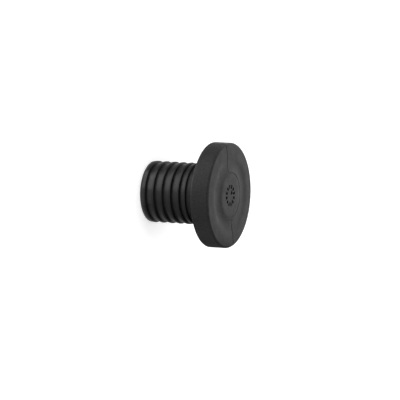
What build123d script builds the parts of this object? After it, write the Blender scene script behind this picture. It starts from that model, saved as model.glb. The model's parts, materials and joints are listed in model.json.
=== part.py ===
from build123d import *
import math
import os

# Pipe plug, moulded in one piece: a thick round flange on a hollow, barbed spigot.
# Millimetres. The axis is Z, the spigot's open end stands on Z = 0 and the flange's face looks up.

# Flange
flange_diameter = 34.0
flange_thickness = 6.35  # from its back to the middle of its face
face_edge_round = 0.7
back_edge_chamfer = 0.4

# Face: a flat disc inside a fine line, a shallow round sink over the spigot's wall, and an outer ring
disc_diameter = 14.8
disc_line_width = 0.3
disc_line_depth = 0.12
sink_depth = 0.34
sink_bottom_share = 0.41  # how far across the sink its lowest point lies
sink_turn_share = 0.645  # how far across the sink its curve turns over towards the ring
ring_width = 3.2
ring_drop = 0.1  # of the ring's inner edge below the disc
ring_fall = 0.09  # of the ring towards the rim

# Spigot: barbs that rise towards the flange, each with a short land and a step behind it
crest_diameter = 20.0
barb_height = 0.7
barb_pitch = 3.0
full_barbs = 4
tip_barb_length = 1.9
last_barb_length = 2.25
crest_land = 0.6
neck_length = 5.15  # plain, from the last barb to the flange's back

# Spigot's open end
tip_drop = 0.17  # of the first ramp's start below the crests
tip_chamfer = 0.3
mouth_chamfer = 0.3

# Hollow core, open at the spigot's end and blind under the face
spigot_wall = 2.35  # from the core to the foot of the barbs
core_chamfer = 1.2
face_web = 3.6  # left between the core and the face

# Sizes that follow from those above
flange_radius = flange_diameter / 2
disc_radius = disc_diameter / 2
crest_radius = crest_diameter / 2
root_radius = crest_radius - barb_height
tip_radius = crest_radius - tip_drop
barb_lengths = [tip_barb_length] + [barb_pitch] * full_barbs + [last_barb_length]
spigot_length = sum(barb_lengths) + neck_length
face_height = spigot_length + flange_thickness
core_height = face_height - face_web
core_radius = root_radius - spigot_wall

# Stations of the face's curve, from the disc out to the rim
sink_inner = disc_radius + disc_line_width / 2
ring_inner = flange_radius - ring_width
sink_span = ring_inner - sink_inner
sink_bottom_radius = sink_inner + sink_span * sink_bottom_share
sink_turn_radius = sink_inner + sink_span * sink_turn_share
sink_floor = face_height - sink_depth
sink_curve = ((sink_bottom_radius - sink_inner) ** 2 + sink_depth**2) / (2 * sink_depth)
sink_turn_rise = sink_curve - math.sqrt(sink_curve**2 - (sink_turn_radius - sink_bottom_radius) ** 2)
sink_turn_slope = (sink_turn_radius - sink_bottom_radius) / (sink_curve - sink_turn_rise)
ring_height = face_height - ring_drop
rim_height = ring_height - ring_fall


def barb_points():
    """Outline of the barbs from the tip to the neck, as radius and height."""
    points = [(tip_radius, 0.0)]
    height = 0.0
    for length in barb_lengths:
        height += length
        points += [(crest_radius, height - crest_land), (crest_radius, height), (root_radius, height)]
    return points


def face_curve():
    """The face from the rim in to the axis: ring, sink, fine line and disc."""
    sink_turn = (sink_turn_radius, sink_floor + sink_turn_rise)
    ring = Line((flange_radius, rim_height), (ring_inner, ring_height))
    shoulder = TangentArc(sink_turn, (ring_inner, ring_height), tangent=(1, sink_turn_slope))
    sink = ThreePointArc(sink_turn, (sink_bottom_radius, sink_floor), (sink_inner, face_height))
    middle = Polyline(
        (sink_inner, face_height),
        (disc_radius, face_height - disc_line_depth),
        (disc_radius - disc_line_width / 2, face_height),
        (0, face_height),
    )
    return ring + shoulder + sink + middle


def corner(section, radius, height):
    """The corner of a section that lies at a radius and a height."""
    return section.vertices().sort_by_distance(Vector(radius, height))[0]


def plug_section():
    """Half section of the whole plug: core, barbed spigot and flange."""
    spigot = Polyline(
        (0, face_height),
        (0, core_height),
        (core_radius, core_height),
        (core_radius, 0),
        *barb_points(),
        (root_radius, spigot_length),
        (flange_radius, spigot_length),
        (flange_radius, rim_height),
    )
    section = make_face(spigot + face_curve())
    section = chamfer(corner(section, core_radius, core_height), core_chamfer)
    section = chamfer(corner(section, core_radius, 0), mouth_chamfer)
    section = chamfer(corner(section, tip_radius, 0), tip_chamfer)
    section = chamfer(corner(section, flange_radius, spigot_length), back_edge_chamfer)
    return fillet(corner(section, flange_radius, rim_height), face_edge_round)


def pipe_plug():
    """The finished plug, its half section turned about the axis."""
    return revolve(Plane.XZ * plug_section(), Axis.Z)


os.makedirs("parts", exist_ok=True)
export_step(pipe_plug(), "parts/pipe_plug.step")
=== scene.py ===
import json
import logging
import math
from dataclasses import dataclass, field
from enum import Enum
from typing import Any, NamedTuple

import bmesh
import bpy
from mathutils import Matrix, Vector


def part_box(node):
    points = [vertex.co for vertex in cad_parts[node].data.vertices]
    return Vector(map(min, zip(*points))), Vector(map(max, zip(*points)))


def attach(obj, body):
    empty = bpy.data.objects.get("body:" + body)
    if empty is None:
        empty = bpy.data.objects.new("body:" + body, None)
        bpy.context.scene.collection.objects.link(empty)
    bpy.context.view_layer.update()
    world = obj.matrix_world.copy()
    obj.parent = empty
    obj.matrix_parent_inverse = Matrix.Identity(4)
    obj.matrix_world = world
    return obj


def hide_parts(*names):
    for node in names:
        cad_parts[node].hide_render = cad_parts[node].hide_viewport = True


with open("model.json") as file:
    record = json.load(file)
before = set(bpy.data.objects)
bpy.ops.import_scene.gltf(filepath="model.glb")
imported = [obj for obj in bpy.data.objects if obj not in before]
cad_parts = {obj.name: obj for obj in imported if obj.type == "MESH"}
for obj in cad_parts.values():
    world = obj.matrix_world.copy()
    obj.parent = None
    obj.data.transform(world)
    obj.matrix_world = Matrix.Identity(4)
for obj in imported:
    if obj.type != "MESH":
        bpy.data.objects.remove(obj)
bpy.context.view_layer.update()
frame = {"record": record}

MM = 0.001
CHORD_ERROR = 0.003  # millimetres between an arc and the chords that stand for it
LEVEL_ERROR = 0.0001  # millimetres that a part of the mesh may lie off the level it belongs to
NOISE_RANGE = (0.3, 0.7)  # holds nearly all of a noise texture's values
AXIS = Vector((0.0, 0.0, 1.0))

log = logging.getLogger("pipe_plug")


class Region(Enum):
    """Which finish a stretch of the moulding has, by its material slot."""

    FLANGE = 0
    SPIGOT = 1


class Corner(NamedTuple):
    """A corner of the plug's half section, in millimetres."""

    radius: float
    height: float
    round: float = 0.0
    region: Region = Region.FLANGE
    lined: bool = False


def mount(name: str) -> dict[str, Any]:
    """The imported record's mount of that name."""
    return next(entry for entry in frame["record"]["mounts"] if entry["name"] == name)


def rounded(corners: list[Corner]) -> list[Corner]:
    """Replace each corner that has a round by points on an arc tangent to both its sides.

    Args:
        corners: The half section's corners in order.

    Returns:
        The section's points in order, with no rounds left.
    """
    points: list[Corner] = []
    for index, corner in enumerate(corners):
        if corner.round == 0.0:
            points.append(corner)
            continue
        place = Vector((corner.radius, corner.height))
        before, after = ((Vector(corners[index + step][:2]) - place).normalized() for step in (-1, 1))
        half = before.angle(after) / 2
        reach = corner.round / math.tan(half)
        centre = place + (before + after).normalized() * corner.round / math.sin(half)
        start, end = (place + side * reach - centre for side in (before, after))
        sweep = start.angle_signed(end)
        pieces = math.ceil(abs(sweep) / (2 * math.acos(1 - CHORD_ERROR / corner.round)))
        for piece in range(pieces + 1):
            spot = centre + Matrix.Rotation(-sweep * piece / pieces, 2) @ start
            points.append(corner._replace(radius=spot.x, height=spot.y, round=0.0))
    return points


def add_object(name: str, data: bpy.types.ID) -> bpy.types.Object:
    """Make an object and add it to the scene.

    Args:
        name: The object's name.
        data: Its mesh, lamp or camera.

    Returns:
        The new object.
    """
    thing = bpy.data.objects.new(name, data)
    bpy.context.scene.collection.objects.link(thing)
    return thing


class NodeBench:
    """Adds and links the nodes of one shader tree."""

    def __init__(self, owner: bpy.types.Material | bpy.types.World) -> None:
        """Start from an empty tree in a material or a world."""
        owner.use_nodes = True
        self.tree = owner.node_tree
        self.tree.nodes.clear()

    def add(self, kind: str, inputs: dict[Any, Any] | None = None, **settings: Any) -> bpy.types.Node:
        """Add a node, link or set its inputs and set its own options.

        Args:
            kind: Blender's name of the node type.
            inputs: Values or output sockets by input name or number.
            **settings: Options of the node itself.

        Returns:
            The new node.
        """
        node = self.tree.nodes.new(kind)
        for name, value in settings.items():
            setattr(node, name, value)
        for name, value in (inputs or {}).items():
            if isinstance(value, bpy.types.NodeSocket):
                self.tree.links.new(value, node.inputs[name])
            else:
                node.inputs[name].default_value = value
        return node

    def noise(self, place: bpy.types.NodeSocket, scale: float, detail: float) -> bpy.types.NodeSocket:
        """Add a noise texture and give its value."""
        texture = self.add("ShaderNodeTexNoise", {"Vector": place, "Scale": scale, "Detail": detail})
        return texture.outputs["Fac"]

    def maths(self, operation: str, first: Any, second: Any) -> bpy.types.NodeSocket:
        """Add a maths node and give its result."""
        return self.add("ShaderNodeMath", {0: first, 1: second}, operation=operation).outputs[0]

    def spread(
        self, value: bpy.types.NodeSocket, source: tuple[float, float], target: tuple[float, float]
    ) -> bpy.types.NodeSocket:
        """Map one range of a value to another.

        Args:
            value: The value to map.
            source: The ends of its own range.
            target: What those ends become.

        Returns:
            The mapped value.
        """
        ends = {"From Min": source[0], "From Max": source[1], "To Min": target[0], "To Max": target[1]}
        return self.add("ShaderNodeMapRange", {"Value": value, **ends}).outputs[0]


@dataclass(frozen=True)
class BlackPlastic:
    """Black moulded plastic: uneven in roughness, with a grain that its mould gave it.

    Sizes are in millimetres.
    """

    name: str
    tones: tuple[float, float]
    roughness: tuple[float, float]
    grain: tuple[float, float, float]
    grain_depth: float
    grain_detail: float = 2.0
    cloud: float = 2.6
    cloud_detail: float = 4.0
    specular: float = 0.22

    def material(self) -> bpy.types.Material:
        """Build the procedural material of this finish.

        Returns:
            The new material.
        """
        material = bpy.data.materials.new(self.name)
        bench = NodeBench(material)
        place = bench.add("ShaderNodeTexCoord").outputs["Object"]
        cloud = bench.noise(place, 1 / (self.cloud * MM), self.cloud_detail)
        squeeze = [1 / (size * MM) for size in self.grain]
        stretched = bench.add("ShaderNodeMapping", {"Vector": place, "Scale": squeeze})
        grain = bench.noise(stretched.outputs[0], 1.0, self.grain_detail)
        ramp = bench.add("ShaderNodeValToRGB", {0: grain})
        for element, tone, spot in zip(ramp.color_ramp.elements, self.tones, NOISE_RANGE):
            element.color = (tone, tone, tone, 1.0)
            element.position = spot
        bump = bench.add(
            "ShaderNodeBump", {"Strength": 1.0, "Distance": self.grain_depth * MM, "Height": grain}
        )
        shader = bench.add(
            "ShaderNodeBsdfPrincipled",
            {
                "Base Color": ramp.outputs[0],
                "Roughness": bench.spread(cloud, NOISE_RANGE, self.roughness),
                "Specular IOR Level": self.specular,
                "Normal": bump.outputs[0],
            },
        )
        bench.add("ShaderNodeOutputMaterial", {"Surface": shader.outputs[0]})
        return material


FINISHES = {
    Region.FLANGE: BlackPlastic(
        "grained_black", tones=(0.004, 0.021), roughness=(0.46, 0.54),
        grain=(0.32, 0.32, 0.32), grain_depth=0.032,
    ),
    Region.SPIGOT: BlackPlastic(
        "satin_black", tones=(0.007, 0.012), roughness=(0.38, 0.46),
        grain=(0.9, 0.9, 0.16), grain_depth=0.003,
    ),
}


@dataclass
class MouldLine:
    """The line where the mould's two halves met, along X across the face and down the rim."""

    width: float = 0.38
    depth: float = 0.3

    def half_angle(self, radius: float, column: float) -> float:
        """Angle from the line's middle to its edge, at most half a column of the mesh."""
        return min(math.asin(min(self.width / 2 / max(radius, self.width), 1.0)), column / 2)


@dataclass
class MouldDial:
    """The small recessed dial that the mould leaves in the middle of the face."""

    ticks: int = 12
    tick_inner: float = 2.2
    tick_outer: float = 3.5
    tick_half_width: float = math.radians(9)
    pointer_inner: float = 0.4
    pointer_outer: float = 1.8
    pointer_half_width: float = math.radians(24)
    pointer_turn: float = math.radians(120)
    depth: float = 0.7
    edge: float = 0.03

    def radii(self) -> list[float]:
        """Where the face's mesh needs rings for the dial, from the axis outwards."""
        return [0.0, self.pointer_inner, self.pointer_outer, self.tick_inner, self.tick_outer]

    def covers(self, radius: float, angle: float) -> bool:
        """Whether a face of the mesh with that middle lies in one of the dial's recesses.

        Args:
            radius: Distance of the face's middle from the axis.
            angle: Its angle about the axis.

        Returns:
            True inside a tick or the pointer.
        """
        pitch = math.tau / self.ticks
        from_tick = abs((angle + pitch / 2) % pitch - pitch / 2)
        from_pointer = abs((angle - self.pointer_turn + math.pi) % math.tau - math.pi)
        in_tick = self.tick_inner < radius < self.tick_outer and from_tick < self.tick_half_width
        in_pointer = (
            self.pointer_inner < radius < self.pointer_outer and from_pointer < self.pointer_half_width
        )
        return in_tick or in_pointer

    def cut(self, bm: bmesh.types.BMesh, faces: list[bmesh.types.BMFace]) -> None:
        """Press faces straight down, with a broken edge and steep walls round them.

        Args:
            bm: The plug's mesh.
            faces: Those of its faces that the dial covers.
        """
        for depth in (self.edge, self.depth):
            bmesh.ops.inset_region(bm, faces=faces, thickness=self.edge * MM, use_even_offset=True)
            pressed = {vert for face in faces for vert in face.verts}
            bmesh.ops.translate(bm, verts=list(pressed), vec=AXIS * -depth * MM)


@dataclass
class Flange:
    """The thick round head: its face, rim and back."""

    radius: float
    back: float
    face: float
    disc_radius: float = 7.4
    disc_line_width: float = 0.3
    disc_line_depth: float = 0.12
    sink_depth: float = 0.34
    sink_bottom_share: float = 0.41
    sink_turn_share: float = 0.645
    sink_steps: int = 24
    ring_width: float = 3.2
    ring_drop: float = 0.1
    ring_fall: float = 0.09
    face_edge_round: float = 0.7
    back_edge_round: float = 0.4
    fine_round: float = 0.04
    mould_line_end: float = 0.8  # above the back

    @property
    def rim_height(self) -> float:
        """Height at which the face's ring would meet the rim without the edge's round."""
        return self.face - self.ring_drop - self.ring_fall

    def sink(self) -> list[Corner]:
        """The face's hollow: an arc that falls and rises, and one that turns over to the ring.

        Returns:
            Its stations from the disc's line out to the ring.
        """
        inner = self.disc_radius + self.disc_line_width / 2
        ring = Vector((self.radius - self.ring_width, self.face - self.ring_drop))
        bottom = inner + (ring.x - inner) * self.sink_bottom_share
        turn = inner + (ring.x - inner) * self.sink_turn_share
        floor = self.face - self.sink_depth
        curve = ((bottom - inner) ** 2 + self.sink_depth**2) / (2 * self.sink_depth)
        hollow = Vector((bottom, floor + curve))
        joint = Vector((turn, hollow.y - math.sqrt(curve**2 - (turn - bottom) ** 2)))
        outward = (joint - hollow).normalized()
        shoulder_curve = (ring - joint).length_squared / (2 * (ring - joint).dot(outward))
        crown = joint + outward * shoulder_curve
        stations = []
        for step in range(1, self.sink_steps + 1):
            radius = inner + (ring.x - inner) * step / self.sink_steps
            if radius < turn:
                height = hollow.y - math.sqrt(curve**2 - (radius - hollow.x) ** 2)
            else:
                height = crown.y + math.sqrt(shoulder_curve**2 - (radius - crown.x) ** 2)
            stations.append(Corner(radius, height, lined=True))
        return stations

    def outline(self, dial: MouldDial) -> list[Corner]:
        """The half section from the middle of the face to the rim's lower edge.

        Args:
            dial: The mark in the middle of the face, which sets where the mesh has rings.

        Returns:
            The corners in order.
        """
        reach = self.disc_line_width / 2
        return [
            *(Corner(radius, self.face) for radius in dial.radii()),
            Corner((dial.tick_outer + self.disc_radius) / 2, self.face),
            Corner(self.disc_radius - reach, self.face, self.fine_round),
            Corner(self.disc_radius, self.face - self.disc_line_depth, self.fine_round),
            Corner(self.disc_radius + reach, self.face, self.fine_round),
            *self.sink(),
            Corner(self.radius, self.rim_height, self.face_edge_round, lined=True),
            Corner(self.radius, self.back + self.mould_line_end, lined=True),
            Corner(self.radius, self.back, self.back_edge_round),
        ]


@dataclass
class BarbedSpigot:
    """The hollow stem with its row of barbs, which rise towards the flange."""

    crest_radius: float
    length: float
    face: float
    barb_height: float = 0.7
    barb_pitch: float = 3.0
    full_barbs: int = 4
    tip_barb_length: float = 1.9
    last_barb_length: float = 2.25
    crest_land: float = 0.6
    neck_round: float = 0.4
    crest_round: float = 0.17
    root_round: float = 0.06
    flank_round: float = 1.7
    tip_drop: float = 0.17
    tip_round: float = 0.3
    core_wall: float = 2.35
    face_web: float = 3.6  # left between the core and the flange's face
    core_round: float = 1.2
    mouth_round: float = 0.3

    def outline(self) -> list[Corner]:
        """The half section from the flange's back down the barbs, round the open end and up the core.

        Returns:
            The corners in order.
        """
        root = self.crest_radius - self.barb_height
        core = root - self.core_wall
        core_height = self.face - self.face_web
        lengths = [self.tip_barb_length, *[self.barb_pitch] * self.full_barbs, self.last_barb_length]
        corners = [(root, self.length, self.neck_round)]
        for index in range(len(lengths), 0, -1):
            height = sum(lengths[:index])
            corners += [
                (root, height, self.root_round),
                (self.crest_radius, height, self.crest_round),
                (self.crest_radius, height - self.crest_land, self.flank_round),
            ]
        corners += [
            (self.crest_radius - self.tip_drop, 0.0, self.tip_round),
            (core, 0.0, self.mouth_round),
            (core, core_height, self.core_round),
            (0.0, core_height, 0.0),
        ]
        return [Corner(*corner, region=Region.SPIGOT) for corner in corners]


@dataclass
class PlugMoulding:
    """The whole plug as one turned mesh, with its mould line, dial and two finishes."""

    flange: Flange
    spigot: BarbedSpigot
    line: MouldLine = field(default_factory=MouldLine)
    dial: MouldDial = field(default_factory=MouldDial)
    columns: int = 240
    sharp_angle: float = math.radians(35)

    def column_places(self) -> list[tuple[float, int | None]]:
        """Where the mesh's columns lie round the axis. The mould line takes three at each end.

        Returns:
            Each column's angle and, on the mould line, its side: -1, 0 for the middle, or 1.
        """
        places: list[tuple[float, int | None]] = []
        for column in range(self.columns):
            sides = (-1, 0, 1) if column % (self.columns // 2) == 0 else (None,)
            places += [(math.tau * column / self.columns, side) for side in sides]
        return places

    def ring(self, before: Corner, here: Corner, after: Corner) -> list[Vector]:
        """Points of the mesh round the axis at one station of the half section.

        Args:
            before: The station before it.
            here: The station itself.
            after: The station after it.

        Returns:
            One point for each column, in metres.
        """
        along = Vector((after.radius - before.radius, after.height - before.height)).normalized()
        column_angle = math.tau / self.columns
        points = []
        for angle, side in self.column_places():
            radius, height = here.radius, here.height
            if side == 0 and here.lined:
                radius += along.y * self.line.depth
                height -= along.x * self.line.depth
            turn = angle + (side or 0) * self.line.half_angle(here.radius, column_angle)
            points.append(Vector((radius * math.cos(turn), radius * math.sin(turn), height)) * MM)
        return points

    def turn(self, bm: bmesh.types.BMesh) -> None:
        """Turn the half section about the axis.

        Args:
            bm: The empty mesh that takes the faces.
        """
        stations = rounded(self.flange.outline(self.dial) + self.spigot.outline())
        rings = []
        for before, here, after in zip(stations, stations[1:], stations[2:]):
            rings.append([bm.verts.new(point) for point in self.ring(before, here, after)])
        count = len(rings[0])
        for pole, ring, flip in ((stations[0], rings[0], False), (stations[-1], rings[-1], True)):
            tip = bm.verts.new((0.0, 0.0, pole.height * MM))
            for column in range(count):
                corners = [tip, ring[column], ring[(column + 1) % count]]
                face = bm.faces.new(corners[::-1] if flip else corners)
                face.material_index = pole.region.value
        for upper, lower, station in zip(rings, rings[1:], stations[2:]):
            for column in range(count):
                beside = (column + 1) % count
                face = bm.faces.new((upper[column], lower[column], lower[beside], upper[beside]))
                face.material_index = station.region.value
        bm.normal_update()

    def press_dial(self, bm: bmesh.types.BMesh) -> None:
        """Press the dial into the middle of the face.

        Args:
            bm: The plug's mesh.
        """
        covered = []
        for face in bm.faces:
            middle = face.calc_center_median() / MM
            radius, angle = math.hypot(middle.x, middle.y), math.atan2(middle.y, middle.x)
            if middle.z > self.flange.face - LEVEL_ERROR and self.dial.covers(radius, angle):
                covered.append(face)
        self.dial.cut(bm, covered)

    def build(self) -> bpy.types.Object:
        """Make the plug's mesh and the object that shows it.

        Returns:
            The piece, with no finish yet.
        """
        bm = bmesh.new()
        self.turn(bm)
        self.press_dial(bm)
        mesh = bpy.data.meshes.new("plug_moulding")
        bm.to_mesh(mesh)
        bm.free()
        mesh.shade_smooth()
        mesh.set_sharp_from_angle(angle=self.sharp_angle)
        piece = add_object("plug_moulding", mesh)
        weights = piece.modifiers.new("even_shading", "WEIGHTED_NORMAL")
        weights.keep_sharp = True
        return piece

    def dress(self, piece: bpy.types.Object) -> None:
        """Give the mesh its two finishes and set it in the frame for the CAD solid.

        Args:
            piece: The object that build made.
        """
        for region in Region:
            piece.data.materials.append(FINISHES[region].material())
        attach(piece, "root")
        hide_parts("pipe_plug")


@dataclass
class PhotoCamera:
    """The photograph's camera. Lengths are in millimetres, the focal length is in pixels."""

    aim_height: float
    azimuth: float = math.radians(-17)
    elevation: float = math.radians(24.666)
    roll: float = math.radians(3.254)
    distance: float = 1000.0
    right_of_centre: float = 9.609
    above_centre: float = 1.439
    focal_pixels: float = 3110.0
    image_pixels: float = 400.0
    sensor: float = 36.0
    farthest: float = 20000.0
    near: Vector = field(init=False)
    aside: Vector = field(init=False)
    toward: Vector = field(init=False)
    right: Vector = field(init=False)
    up: Vector = field(init=False)

    def __post_init__(self) -> None:
        """Work out the level ways to the camera and to the picture's top, then the picture's own axes."""
        self.near = Vector((math.sin(self.azimuth), -math.cos(self.azimuth), 0.0))
        self.aside = Vector((-math.cos(self.azimuth), -math.sin(self.azimuth), 0.0))
        level_right = math.cos(self.elevation) * AXIS - math.sin(self.elevation) * self.near
        self.toward = math.sin(self.elevation) * AXIS + math.cos(self.elevation) * self.near
        self.right = math.cos(self.roll) * level_right + math.sin(self.roll) * self.aside
        self.up = math.cos(self.roll) * self.aside - math.sin(self.roll) * level_right

    def place(self) -> None:
        """Create the camera and make it the scene's."""
        lens = bpy.data.cameras.new("photo_camera")
        lens.sensor_width = self.sensor
        lens.lens = self.focal_pixels / self.image_pixels * self.sensor
        lens.clip_end = self.farthest * MM
        camera = add_object("photo_camera", lens)
        shift = self.right * self.right_of_centre + self.up * self.above_centre
        spot = AXIS * self.aim_height + self.toward * self.distance - shift
        turn = Matrix((self.right, self.up, self.toward)).transposed().to_4x4()
        camera.matrix_world = Matrix.Translation(spot * MM) @ turn
        bpy.context.scene.camera = camera


@dataclass(frozen=True)
class SoftBox:
    """A rectangular studio lamp that shines at the plug.

    Near, aside and up are the parts of the way to it: to the camera, to the picture's top and along the axis.
    Lengths are in metres and the radiance of white is 1.
    """

    name: str
    near: float
    aside: float
    up: float
    radiance: float
    distance: float = 0.8
    width: float = 0.5
    height: float = 0.5
    aim_height: float = 0.02

    def place(self, camera: PhotoCamera) -> None:
        """Create the lamp, out of the camera's sight.

        Args:
            camera: The camera that gives the ways.
        """
        way = (camera.near * self.near + camera.aside * self.aside + AXIS * self.up).normalized()
        lamp = bpy.data.lights.new(self.name, "AREA")
        lamp.shape = "RECTANGLE"
        lamp.size = self.width
        lamp.size_y = self.height
        lamp.energy = self.radiance * math.pi * self.width * self.height
        box = add_object(self.name, lamp)
        box.rotation_euler = (-way).to_track_quat("-Z", "Y").to_euler()
        box.location = AXIS * self.aim_height + way * self.distance
        box.visible_camera = False


@dataclass(frozen=True)
class PaintedReflectionCard:
    """A glowing card on the floor that only the plug's gloss shows, a painted reflection: bright for a
    painted highlight or dim for painted shade.

    Lengths are in metres. Angles are in degrees, from the camera's side to the picture's top, and are
    those of the surface that mirrors the card.
    """

    name: str
    radiance: float
    first_angle: float
    last_angle: float
    inner: float = 0.0103
    reach: float = 0.046
    level: float = 0.0004
    rise: float = 0.0
    steps: int = 8

    def corners(self, camera: PhotoCamera) -> list[Vector]:
        """Where the card lies, from its first angle to its last.

        Args:
            camera: The camera that gives the ways.

        Returns:
            The inner and outer corners in pairs.
        """
        corners = []
        for step in range(self.steps + 1):
            angle = math.radians(self.first_angle + (self.last_angle - self.first_angle) * step / self.steps)
            facing, mirrored = (
                camera.near * math.cos(turn) + camera.aside * math.sin(turn) for turn in (angle, 2 * angle)
            )
            start = facing * self.inner + AXIS * self.level
            corners += [start, start + mirrored * self.reach + AXIS * self.rise]
        return corners

    def place(self, camera: PhotoCamera) -> None:
        """Create the card, out of the sight of the camera and of matt surfaces.

        Args:
            camera: The camera that gives the ways.
        """
        faces = [(2 * step, 2 * step + 1, 2 * step + 3, 2 * step + 2) for step in range(self.steps)]
        mesh = bpy.data.meshes.new(self.name)
        mesh.from_pydata(self.corners(camera), [], faces)
        material = bpy.data.materials.new(self.name)
        bench = NodeBench(material)
        # The card's glow is painted light: it shows only in the plug's gloss and lights nothing.
        glow = bench.add("ShaderNodeEmission", {"Strength": self.radiance})
        bench.add("ShaderNodeOutputMaterial", {"Surface": glow.outputs[0]})
        mesh.materials.append(material)
        card = add_object(self.name, mesh)
        card.visible_camera = False
        card.visible_diffuse = False
        card.visible_shadow = False


@dataclass
class Studio:
    """A white floor, an even surround, soft lamps and glowing cards that the spigot and the rim mirror as
    painted highlights and painted shade.
    """

    camera: PhotoCamera
    floor_side: float = 8.0
    floor_tone: float = 0.9
    floor_lift: float = 0.5
    surround_front: float = 0.45
    surround_back: float = 0.7
    surround_turn: float = 0.6
    lamps: tuple[SoftBox, ...] = (
        SoftBox("key_lamp", near=0.45, aside=0.85, up=0.22, radiance=2.2),
        SoftBox(
            "back_lamp", near=-0.72, aside=0.4, up=0.4, radiance=0.85, distance=0.3, width=0.4, height=0.44
        ),
        SoftBox("fill_lamp", near=0.4, aside=0.0, up=0.92, radiance=2.4),
    )
    # Glowing cards that only the gloss shows: painted highlights and painted shade in the plug's reflections.
    cards: tuple[PaintedReflectionCard, ...] = (
        # Painted highlight: a bright band mirrored in the spigot's upper side.
        PaintedReflectionCard("painted_band_highlight", radiance=3.3, first_angle=5, last_angle=40),
        # Painted shade: a dim card that darkens the reflections higher on the spigot's upper side.
        PaintedReflectionCard("painted_upper_shade", radiance=0.4, first_angle=42, last_angle=73, reach=0.09),
        # Painted shadow: a dim card that darkens the reflections on the lower side of the spigot and the rim.
        PaintedReflectionCard("painted_lower_shadow", radiance=0.58, first_angle=-88, last_angle=-20, reach=0.09),
        # Painted shade: a dim card rising beside the rim that darkens the lower rim and the lower face.
        PaintedReflectionCard(
            "painted_rim_shade", radiance=0.2, first_angle=-92, last_angle=-55, inner=0.0172, reach=0.03, rise=0.06
        ),
        # Painted highlights: thin bright strips mirrored in the round of the spigot's open end.
        PaintedReflectionCard("painted_tip_highlight", radiance=2.0, first_angle=-28, last_angle=5, reach=0.001, level=0.0006),
        PaintedReflectionCard("painted_upper_tip_highlight", radiance=4.0, first_angle=5, last_angle=40, reach=0.001, level=0.0006),
        # Painted highlight: a thin bright ring at the foot of the spigot, mirrored in the rounded edge of its
        # open end.
        PaintedReflectionCard(
            "painted_edge_highlight", radiance=2.5, first_angle=-75, last_angle=75,
            inner=0.0095, reach=0.001, level=0.00003, steps=24,
        ),
    )

    def floor(self) -> None:
        """Lay the floor that the plug stands on, lifted towards white in the picture and in reflections."""
        half = self.floor_side / 2
        corners = [(-half, -half, 0), (half, -half, 0), (half, half, 0), (-half, half, 0)]
        mesh = bpy.data.meshes.new("floor")
        mesh.from_pydata(corners, [], [(0, 1, 2, 3)])
        material = bpy.data.materials.new("white_floor")
        bench = NodeBench(material)
        rays = bench.add("ShaderNodeLightPath").outputs
        seen = rays["Is Camera Ray"]
        for kind in ("Is Glossy Ray", "Is Transmission Ray"):
            seen = bench.maths("MAXIMUM", seen, rays[kind])
        lift = bench.maths("MULTIPLY", seen, self.floor_lift)
        matt = bench.add("ShaderNodeBsdfDiffuse", {"Color": (self.floor_tone,) * 3 + (1.0,)})
        glow = bench.add("ShaderNodeEmission", {"Strength": lift})
        both = bench.add("ShaderNodeAddShader", {0: matt.outputs[0], 1: glow.outputs[0]})
        bench.add("ShaderNodeOutputMaterial", {"Surface": both.outputs[0]})
        mesh.materials.append(material)
        add_object("floor", mesh)

    def surround(self) -> None:
        """Fill the room with even light, brighter behind the plug than in front of it."""
        world = bpy.data.worlds.new("studio")
        bpy.context.scene.world = world
        bench = NodeBench(world)
        direction = bench.add("ShaderNodeTexCoord").outputs["Generated"]
        away = -self.camera.near
        behind = bench.add("ShaderNodeVectorMath", {0: direction, 1: away}, operation="DOT_PRODUCT")
        level = bench.spread(
            behind.outputs["Value"],
            (-self.surround_turn, self.surround_turn),
            (self.surround_front, self.surround_back),
        )
        glow = bench.add("ShaderNodeBackground", {"Strength": level})
        bench.add("ShaderNodeOutputWorld", {"Surface": glow.outputs[0]})

    def build(self) -> None:
        """Make the whole studio."""
        bpy.context.scene.view_settings.view_transform = "Standard"
        self.floor()
        self.surround()
        for light in (*self.lamps, *self.cards):
            light.place(self.camera)


def main() -> None:
    """Build the plug, the camera and the studio in order."""
    logging.basicConfig(level=logging.INFO, format="%(message)s")
    low, high = (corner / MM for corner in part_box("pipe_plug"))
    back = mount("pipe_stop")["pos_m"][2] / MM
    flange = Flange(radius=high.x, back=back, face=high.z)
    spigot = BarbedSpigot(crest_radius=mount("spigot")["dims"]["r_mm"], length=back, face=high.z)
    moulding = PlugMoulding(flange, spigot)
    piece = moulding.build()
    moulding.dress(piece)
    log.info("plug_moulding: %d faces, from %.2f to %.2f mm high", len(piece.data.polygons), low.z, high.z)
    camera = PhotoCamera(aim_height=flange.rim_height)
    camera.place()
    log.info("photo_camera: placed")
    Studio(camera).build()
    log.info("studio: floor, surround, lamps and cards placed")


if __name__ == "__main__":
    main()
